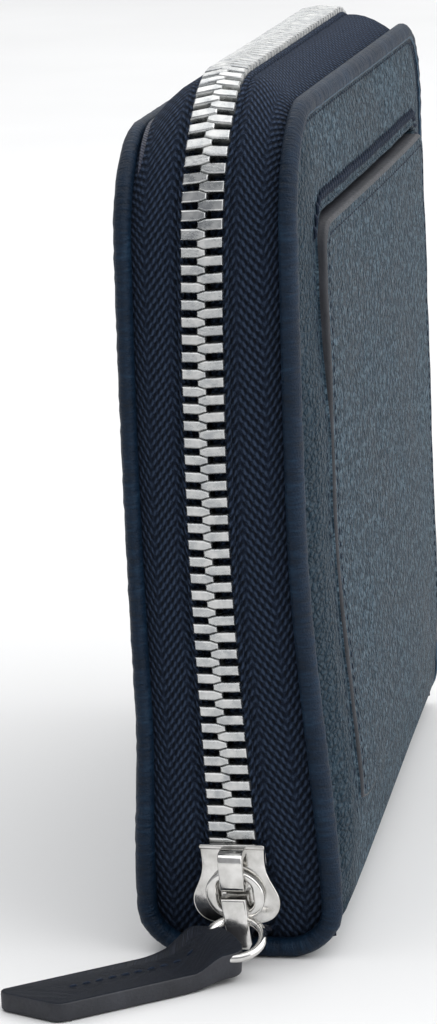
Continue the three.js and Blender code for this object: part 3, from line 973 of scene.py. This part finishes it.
class Look:
    """A node material built up from small steps."""

    def __init__(self, name):
        self.material = bpy.data.materials.new(name)
        self.material.use_nodes = True
        self.tree = self.material.node_tree
        self.shader = self.tree.nodes["Principled BSDF"]

    def plug(self, source, socket):
        """Sets a socket to a plain value, or links it."""
        if isinstance(source, (int, float, tuple)):
            socket.default_value = source
        else:
            self.tree.links.new(source, socket)

    def node(self, kind, inputs, **settings):
        """Adds one node, with its inputs given by name or number."""
        made = self.tree.nodes.new(kind)
        for key, value in settings.items():
            setattr(made, key, value)
        for key, value in inputs.items():
            self.plug(value, made.inputs[key])
        return made

    def surface(self):
        """Distances along the surface, in metres."""
        return self.node("ShaderNodeUVMap", {}, uv_map="UVMap").outputs["UV"]

    def place(self):
        """Distances in the object's own frame, in metres."""
        return self.node("ShaderNodeTexCoord", {}).outputs["Object"]

    def stretched(self, vector, x, y, z=1.0):
        inputs = {"Vector": vector, "Scale": (x, y, z)}
        return self.node("ShaderNodeMapping", inputs).outputs["Vector"]

    def noise(self, vector, scale, detail=3.0, roughness=0.55):
        inputs = {"Vector": vector, "Scale": scale, "Detail": detail, "Roughness": roughness}
        return self.node("ShaderNodeTexNoise", inputs).outputs["Fac"]

    def cells(self, vector, scale, feature="SMOOTH_F1", **inputs):
        """Distance to the nearest cell's centre, or to the nearest edge between cells."""
        inputs.update(Vector=vector, Scale=scale)
        return self.node("ShaderNodeTexVoronoi", inputs, feature=feature).outputs["Distance"]

    def maths(self, operation, a, b=0.0, c=0.0):
        return self.node("ShaderNodeMath", {0: a, 1: b, 2: c}, operation=operation).outputs[0]

    def plus(self, value, share, base):
        """The base with a share of the value added."""
        return self.maths("MULTIPLY_ADD", value, share, base)

    def times(self, a, b):
        return self.maths("MULTIPLY", a, b)

    def wave(self, phase):
        """A sine that repeats each time the phase grows by one."""
        return self.maths("SINE", self.times(phase, 2 * pi))

    def parts(self, vector):
        return self.node("ShaderNodeSeparateXYZ", {0: vector}).outputs[:3]

    def vector_maths(self, operation, inputs):
        return self.node("ShaderNodeVectorMath", inputs, operation=operation).outputs[0]

    def warped(self, vector, scale, amount):
        """The same place, pushed about by noise."""
        inputs = {"Vector": vector, "Scale": scale, "Detail": 2.0}
        cloud = self.node("ShaderNodeTexNoise", inputs).outputs["Color"]
        centred = self.vector_maths("SUBTRACT", {0: cloud, 1: (0.5, 0.5, 0.5)})
        push = self.vector_maths("SCALE", {0: centred, "Scale": amount})
        return self.vector_maths("ADD", {0: vector, 1: push})

    def ramp(self, value, stops):
        made = self.node("ShaderNodeValToRGB", {0: value})
        elements = made.color_ramp.elements
        while len(elements) < len(stops):
            elements.new(0.5)
        for element, (place, tint) in zip(elements, stops):
            element.position = place
            element.color = (*tint, 1)
        return made.outputs[0]

    def between(self, value, low, high, new_low=0.0, new_high=1.0):
        inputs = {0: value, 1: low, 2: high, 3: new_low, 4: new_high}
        return self.node("ShaderNodeMapRange", inputs).outputs[0]

    def mixed(self, share, base, tint):
        return self.node("ShaderNodeMix", {0: share, 6: base, 7: (*tint, 1)}, data_type="RGBA").outputs[2]

    def bump(self, height, strength, distance):
        inputs = {"Height": height, "Strength": strength, "Distance": distance}
        return self.node("ShaderNodeBump", inputs).outputs["Normal"]

    def wear(self, **sockets):
        """Sets or links the shader's own sockets, by name."""
        for name, value in sockets.items():
            self.plug(value, self.shader.inputs[name.replace("_", " ")])
        return self.material


def colour(red, green, blue):
    """A colour read off from 0 to 255, as the linear values that shaders take."""
    def linear(value):
        value /= 255
        return value / 12.92 if value <= 0.04045 else ((value + 0.055) / 1.055) ** 2.4
    return linear(red), linear(green), linear(blue)


def pebbled(look, vector, grain, deep, mid, light, strength, sheen=0.3, shade=None):
    """Pebble-grained leather: rounded cells of mixed size with dark creases between them."""
    push = look.warped(vector, 420, 0.0009)
    cell = look.cells(push, 1 / grain, Smoothness=0.35)
    small = look.cells(look.warped(vector, 900, 0.0004), 2.1 / grain, Smoothness=0.3)
    crease = look.cells(push, 1 / grain, feature="DISTANCE_TO_EDGE")
    valley = look.between(crease, 0.0, 0.22)
    fine = look.noise(vector, 5200, 2.0)
    streak = look.noise(vector, 0.6 / grain, 3.0, 0.65)
    patch = look.noise(vector, 55, 4.0, 0.6)
    relief = look.plus(small, -0.35, look.maths("SUBTRACT", 1.0, cell))
    relief = look.plus(valley, 0.3, relief)
    relief = look.plus(streak, 1.2, relief)
    relief = look.plus(fine, 0.12, relief)
    tone = look.plus(patch, 0.3, look.times(valley, 0.14))
    tone = look.plus(streak, 0.85, tone)
    base = look.ramp(tone, [(0.59, deep), (0.69, mid), (0.79, light)])
    # painted shade: where a shade mask is given, the colour is mixed towards the deep tone
    if shade is not None:
        base = look.mixed(shade, base, deep)
    rough = look.between(patch, 0.3, 0.7, 0.52, 0.68)
    return look.wear(
        Base_Color=base, Roughness=rough, Normal=look.bump(relief, strength, 0.0008),
        Specular_IOR_Level=0.16, Sheen_Weight=sheen, Sheen_Roughness=0.5,
        Sheen_Tint=(0.55, 0.68, 0.8, 1))


def shell_leather():
    """The grain's cells are longer round the spine than up it."""
    look = Look("shell_leather")
    along, _, _ = look.parts(look.surface())
    # painted shade: the cover's colour darkens towards both ends, standing in for the shade where the cover
    # turns away from the light
    painted_end_shade = look.between(look.maths("ABSOLUTE", along), 0.0405, 0.0440, 0.0, 0.75)
    return pebbled(
        look, look.stretched(look.surface(), 0.8, 1.0), 0.00075,
        colour(20, 42, 56), colour(50, 70, 84), colour(82, 102, 115), 1.0, 0.04, painted_end_shade)


def rim_leather():
    """Smooth leather rolled round the edge, with fine creases across it."""
    look = Look("rim_leather")
    place = look.surface()
    along, girth, _ = look.parts(place)
    across = look.noise(look.stretched(place, 1.0, 0.2), 1700, 3.0, 0.6)
    fine = look.noise(place, 4200, 2.0)
    patch = look.noise(place, 130, 4.0)
    wander = look.noise(look.stretched(place, 1.0, 0.0), 240, 3.0)
    line = look.maths("SUBTRACT", girth, look.plus(wander, 0.0006, 0.0009))
    # painted highlight: a thin light line along the crease, mixed into the colour below where the light
    # catches the crease's edge; the same line also raises the relief
    crease_and_highlight = look.between(look.maths("ABSOLUTE", line), 0.0001, 0.00028, 1.0, 0.0)
    relief = look.plus(fine, 0.3, across)
    relief = look.plus(crease_and_highlight, 0.8, relief)
    tone = look.plus(across, 0.6, look.times(patch, 0.4))
    base = look.ramp(tone, [(0.3, colour(1, 15, 29)), (0.52, colour(5, 28, 48)), (0.75, colour(28, 54, 76))])
    base = look.mixed(look.times(crease_and_highlight, 0.5), base, colour(70, 100, 122))
    rough = look.between(across, 0.3, 0.7, 0.48, 0.62)
    return look.wear(
        Base_Color=base, Roughness=rough, Normal=look.bump(relief, 1.0, 0.0004),
        Specular_IOR_Level=0.22)


def tape_weave():
    """Herringbone tape: ridges that turn from column to column, each a row of short floats."""
    look = Look("zip_tape_weave")
    along, across, _ = look.parts(look.warped(look.surface(), 1300, 0.0002))
    column, pitch, yarn = 0.0032, 0.00115, 0.0006
    order = look.maths("DIVIDE", across, column)
    turn = look.maths("PINGPONG", order, 1.0)
    slope = look.times(turn, column * 1.25)
    ridge_phase = look.maths("DIVIDE", look.maths("ADD", along, slope), pitch)
    ridge = look.wave(ridge_phase)
    float_phase = look.maths("DIVIDE", across, yarn)
    offset = look.times(look.maths("FLOOR", ridge_phase), 0.5)
    yarns = look.wave(look.maths("ADD", float_phase, offset))
    seam = look.maths("SMOOTH_MIN", turn, look.maths("SUBTRACT", 1.0, turn), 0.1)
    seam = look.between(seam, 0.0, 0.16)
    fuzz = look.noise(look.surface(), 6000, 2.0)
    relief = look.plus(yarns, 0.6, ridge)
    relief = look.times(relief, look.plus(seam, 0.6, 0.4))
    relief = look.plus(fuzz, 1.6, look.times(relief, 0.8))
    tone = look.between(relief, -0.6, 2.1)
    base = look.ramp(tone, [(0.15, colour(6, 12, 21)), (0.5, colour(19, 28, 43)), (0.85, colour(52, 65, 86))])
    return look.wear(
        Base_Color=base, Roughness=0.85, Normal=look.bump(relief, 0.8, 0.00022),
        Specular_IOR_Level=0.1, Sheen_Weight=0.04, Sheen_Roughness=0.6, Sheen_Tint=(0.5, 0.62, 0.9, 1))


def nickel():
    look = Look("polished_nickel")
    place = look.place()
    brushed = look.noise(look.stretched(place, 1.0, 1.0, 0.3), 2600, 3.0)
    smear = look.noise(place, 420, 3.0)
    base = look.ramp(smear, [(0.3, (0.50, 0.49, 0.47)), (0.7, (0.80, 0.79, 0.77))])
    return look.wear(
        Base_Color=base, Metallic=1.0, Roughness=look.between(brushed, 0.25, 0.8, 0.08, 0.24),
        Normal=look.bump(smear, 0.08, 0.0003))


def zip_nickel():
    """The teeth: nickel rubbed dull in small patches."""
    look = Look("zip_nickel")
    place = look.place()
    rubbed = look.noise(place, 700, 3.0, 0.6)
    speck = look.noise(place, 3600, 2.0)
    base = look.ramp(rubbed, [
        (0.32, (0.36, 0.37, 0.38)), (0.48, (0.48, 0.49, 0.49)), (0.68, (0.62, 0.62, 0.61))])
    return look.wear(
        Base_Color=base, Metallic=1.0, Roughness=look.between(rubbed, 0.3, 0.75, 0.2, 0.38),
        Normal=look.bump(speck, 0.25, 0.0001))


def tab_leather():
    look = Look("tab_leather")
    return pebbled(
        look, look.surface(), 0.0009,
        colour(16, 20, 30), colour(38, 43, 58), colour(76, 82, 102), 1.0, 0.04)


def edge_paint():
    """Painted cut edge: smooth, with the leather's layers faintly showing."""
    look = Look("edge_paint")
    place = look.place()
    fine = look.noise(place, 2600, 3.0)
    patch = look.noise(place, 240, 4.0)
    base = look.ramp(patch, [(0.3, colour(28, 30, 36)), (0.7, colour(46, 48, 55))])
    return look.wear(
        Base_Color=base, Roughness=look.between(fine, 0.3, 0.7, 0.45, 0.62),
        Normal=look.bump(look.maths("ADD", fine, patch), 0.25, 0.0003),
        Specular_IOR_Level=0.45)


def thread():
    look = Look("navy_thread")
    place = look.place()
    twist = look.noise(look.stretched(place, 1.0, 1.0, 2.0), 5200, 2.0)
    base = look.ramp(twist, [(0.3, colour(5, 14, 28)), (0.7, colour(16, 34, 56))])
    return look.wear(
        Base_Color=base, Roughness=0.6, Normal=look.bump(twist, 0.6, 0.0002), Specular_IOR_Level=0.2)


def woven_lining():
    """Fine plain-weave lining."""
    look = Look("woven_lining")
    x, y, z = look.parts(look.place())
    yarn = 0.0006
    warp = look.wave(look.maths("DIVIDE", look.maths("ADD", x, y), yarn))
    weft = look.wave(look.maths("DIVIDE", z, yarn))
    weave = look.times(warp, weft)
    patch = look.noise(look.place(), 300, 3.0)
    relief = look.plus(patch, 0.6, weave)
    base = look.ramp(look.between(relief, -1.0, 1.6), [
        (0.1, colour(18, 22, 36)), (0.6, colour(32, 38, 56)), (1.0, colour(52, 58, 78))])
    return look.wear(Base_Color=base, Roughness=0.8, Normal=look.bump(relief, 0.4, 0.00015), Sheen_Weight=0.3)


def inner_leather():
    look = Look("inner_leather")
    return pebbled(
        look, look.place(), 0.0007,
        colour(18, 26, 40), colour(34, 44, 62), colour(52, 62, 80), 0.5, 0.2)


def floor_look():
    look = Look("studio_floor")
    patch = look.noise(look.place(), 6, 3.0)
    base = look.ramp(patch, [(0.3, (0.71, 0.71, 0.71)), (0.7, (0.75, 0.75, 0.75))])
    return look.wear(Base_Color=base, Roughness=0.7, Specular_IOR_Level=0.2)


# ---- Putting it together ----

looks = {
    "shell": shell_leather(), "rim": rim_leather(), "tape": tape_weave(), "nickel": nickel(),
    "teeth": zip_nickel(), "tab": tab_leather(), "paint": edge_paint(), "thread": thread(),
    "lining": woven_lining(), "inner": inner_leather(), "floor": floor_look(),
}


def folding(obj):
    """Bakes the piece's transform into its mesh."""
    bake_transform(obj)
    return obj


def build_shell():
    front = folding(add_front_shell(looks["shell"]))
    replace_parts(front, "front_cover_leather", "front_fold_leather", "front_board")
    back = folding(add_back_shell(looks["shell"]))
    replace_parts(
        back, "back_cover_leather", "back_fold_leather", "spine_leather", "back_board", "spine_board")
    rim_front = folding(add_rim(1, "rim_front", looks["rim"]))
    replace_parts(rim_front, "front_rolled_edge", "spine_rolled_edge_near")
    rim_back = folding(add_rim(-1, "rim_back", looks["rim"]))
    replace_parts(rim_back, "back_rolled_edge", "spine_rolled_edge_far")


def build_pocket():
    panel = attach(add_pocket_panel(looks["shell"], looks["paint"]), "front_cover")
    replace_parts(panel, "pocket_panel")
    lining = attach(add_pocket_back(looks["lining"]), "front_cover")
    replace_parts(lining, "pocket_backing")


def sew(name, cover, path, pitch, length, radius, surface=cover_surface, slant=0.0, lift=0.0):
    """Sews one row of stitches to a cover, at a pitch along a path."""
    side = 1 if cover == "front_cover" else -1
    row = shell_stitches(
        name, side, spaced(path, pitch), surface, looks["thread"], length, radius, slant, lift)
    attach(row, cover)


def build_stitches():
    arch = arch_loop(CREASE_INSET + 0.35)[:-FOOT_STEPS]
    crease = [p for p in arch if p[1] > along_at(12)]
    for cover in ("front_cover", "back_cover"):
        sew(f"crease_thread_{cover}", cover, crease, 1.5, 1.05, 0.13, lift=-0.02)
    shoulder = along_at(WINDOW_TOP) - 2.5
    lip_top = [p for p in window_loop(1.35) if p[1] > shoulder]
    sew("window_thread", "front_cover", lip_top, 1.5, 2.0, 0.27, slant=radians(52), lift=0.1)
    lip_side = [p for p in window_loop(1.7)[:-FOOT_STEPS] if p[1] < shoulder]
    for name, end in (("near", -1), ("far", 1)):
        path = [p for p in lip_side if p[0] * end > 0]
        sew(f"window_side_thread_{name}", "front_cover", path, 1.6, 1.2, 0.12, lift=-0.05)
    panel_path = window_loop(-1.9, PANEL_TOP)[:-FOOT_STEPS]
    sew("pocket_thread", "front_cover", panel_path, 1.5, 1.1, 0.13, panel_surface, lift=-0.07)


def build_zip():
    for side, cover in ((1, "front"), (-1, "back")):
        body = f"{cover}_cover"
        tape = add_tape(side, f"tape_{cover}", looks["tape"])
        folding(tape)
        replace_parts(tape, f"{cover}_zip_tape")
        cord = add_cord(side, f"tape_cord_{cover}", looks["tape"])
        folding(cord)
        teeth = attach(add_teeth(side, f"teeth_{cover}", looks["teeth"]), body)
        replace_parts(teeth, f"{cover}_zip_teeth")


def build_metal():
    for made, body, node in (
            (add_slider(looks["nickel"]), "slider", "slider_body"),
            (add_crown(looks["nickel"]), "slider", "slider_crown"),
            (add_puller(looks["nickel"]), "puller", "puller"),
            (add_ring(looks["nickel"]), "ring", "jump_ring")):
        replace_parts(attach(made, body), node)


def build_tab():
    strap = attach(add_tab(looks["tab"], looks["paint"]), "tab")
    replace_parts(strap, "tab_leather")
    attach(add_tab_stitches(looks["thread"]), "tab")


def dress_cad():
    """Procedural materials on the CAD pieces that stay as they are."""
    wanted = {
        "pocket": "inner", "coin_wall": "inner", "gusset": "inner", "lining": "lining",
        "tape": "tape", "teeth": "teeth", "stop": "nickel", "coin_slider": "nickel",
        "coin_puller": "nickel",
    }
    for name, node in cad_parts.items():
        if node.hide_render:
            continue
        for word, look in wanted.items():
            if word in name:
                node.data.materials.clear()
                node.data.materials.append(looks[look])


def add_floor():
    size, steps, depth = 6000, 24, -0.05
    places = [size * (i / steps - 0.5) for i in range(steps + 1)]
    rings = [[(x, y, depth) for y in places] for x in places]
    floor = make_object("studio_floor", flatten(rings), loft(rings, closed=False), looks["floor"])


def add_camera():
    """Low, at the near end, and a little to the front cover's side."""
    azimuth, elevation, roll = radians(10.95), radians(13.43), radians(-2.44)
    target = Vector((-10.2, 0, 41.25)) * MM
    distance = 455.6 * MM
    level = Vector((sin(azimuth), -cos(azimuth), 0))
    back = level * cos(elevation) + Vector((0, 0, sin(elevation)))
    right = Vector((cos(azimuth), sin(azimuth), 0))
    up = back.cross(right)
    tilted_right = right * cos(roll) + up * sin(roll)
    tilted_up = up * cos(roll) - right * sin(roll)
    turn = Matrix((tilted_right, tilted_up, back)).transposed().to_4x4()
    data = bpy.data.cameras.new("camera")
    data.sensor_fit = "VERTICAL"
    data.sensor_height = 36
    data.lens = 123.05
    data.clip_start = 0.01
    camera = bpy.data.objects.new("camera", data)
    camera.matrix_world = Matrix.Translation(target + back * distance) @ turn
    bpy.context.scene.collection.objects.link(camera)
    bpy.context.scene.camera = camera


def add_area_light(name, place, size, energy):
    data = bpy.data.lights.new(name, "AREA")
    data.shape = "RECTANGLE"
    data.size, data.size_y = size
    data.energy = energy
    light = bpy.data.objects.new(name, data)
    place = Vector(place)
    light.location = place
    light.rotation_euler = (Vector((0, 0, 0.05)) - place).to_track_quat("-Z", "Y").to_euler()
    bpy.context.scene.collection.objects.link(light)


def add_lights():
    add_area_light("key", (1.0, -0.2, 0.6), (1.3, 1.3), 9)
    add_area_light("top", (0.1, 0.2, 1.4), (3.0, 3.0), 36)
    world = bpy.data.worlds.new("studio")
    world.use_nodes = True
    nodes = world.node_tree.nodes
    links = world.node_tree.links
    place = nodes.new("ShaderNodeTexCoord")
    split = nodes.new("ShaderNodeSeparateXYZ")
    ramp = nodes.new("ShaderNodeValToRGB")
    links.new(place.outputs["Generated"], split.inputs[0])
    links.new(split.outputs["Y"], ramp.inputs[0])
    ramp.color_ramp.elements[0].position = 0.0
    ramp.color_ramp.elements[0].color = (0.45, 0.46, 0.48, 1)
    ramp.color_ramp.elements[1].position = 0.5
    ramp.color_ramp.elements[1].color = (1, 1, 1, 1)
    background = nodes["Background"]
    links.new(ramp.outputs[0], background.inputs["Color"])
    background.inputs["Strength"].default_value = 0.85
    bpy.context.scene.world = world
    bpy.context.scene.view_settings.view_transform = "Standard"


build_shell()
build_pocket()
build_stitches()
build_zip()
build_metal()
build_tab()
dress_cad()
add_floor()
add_camera()
add_lights()
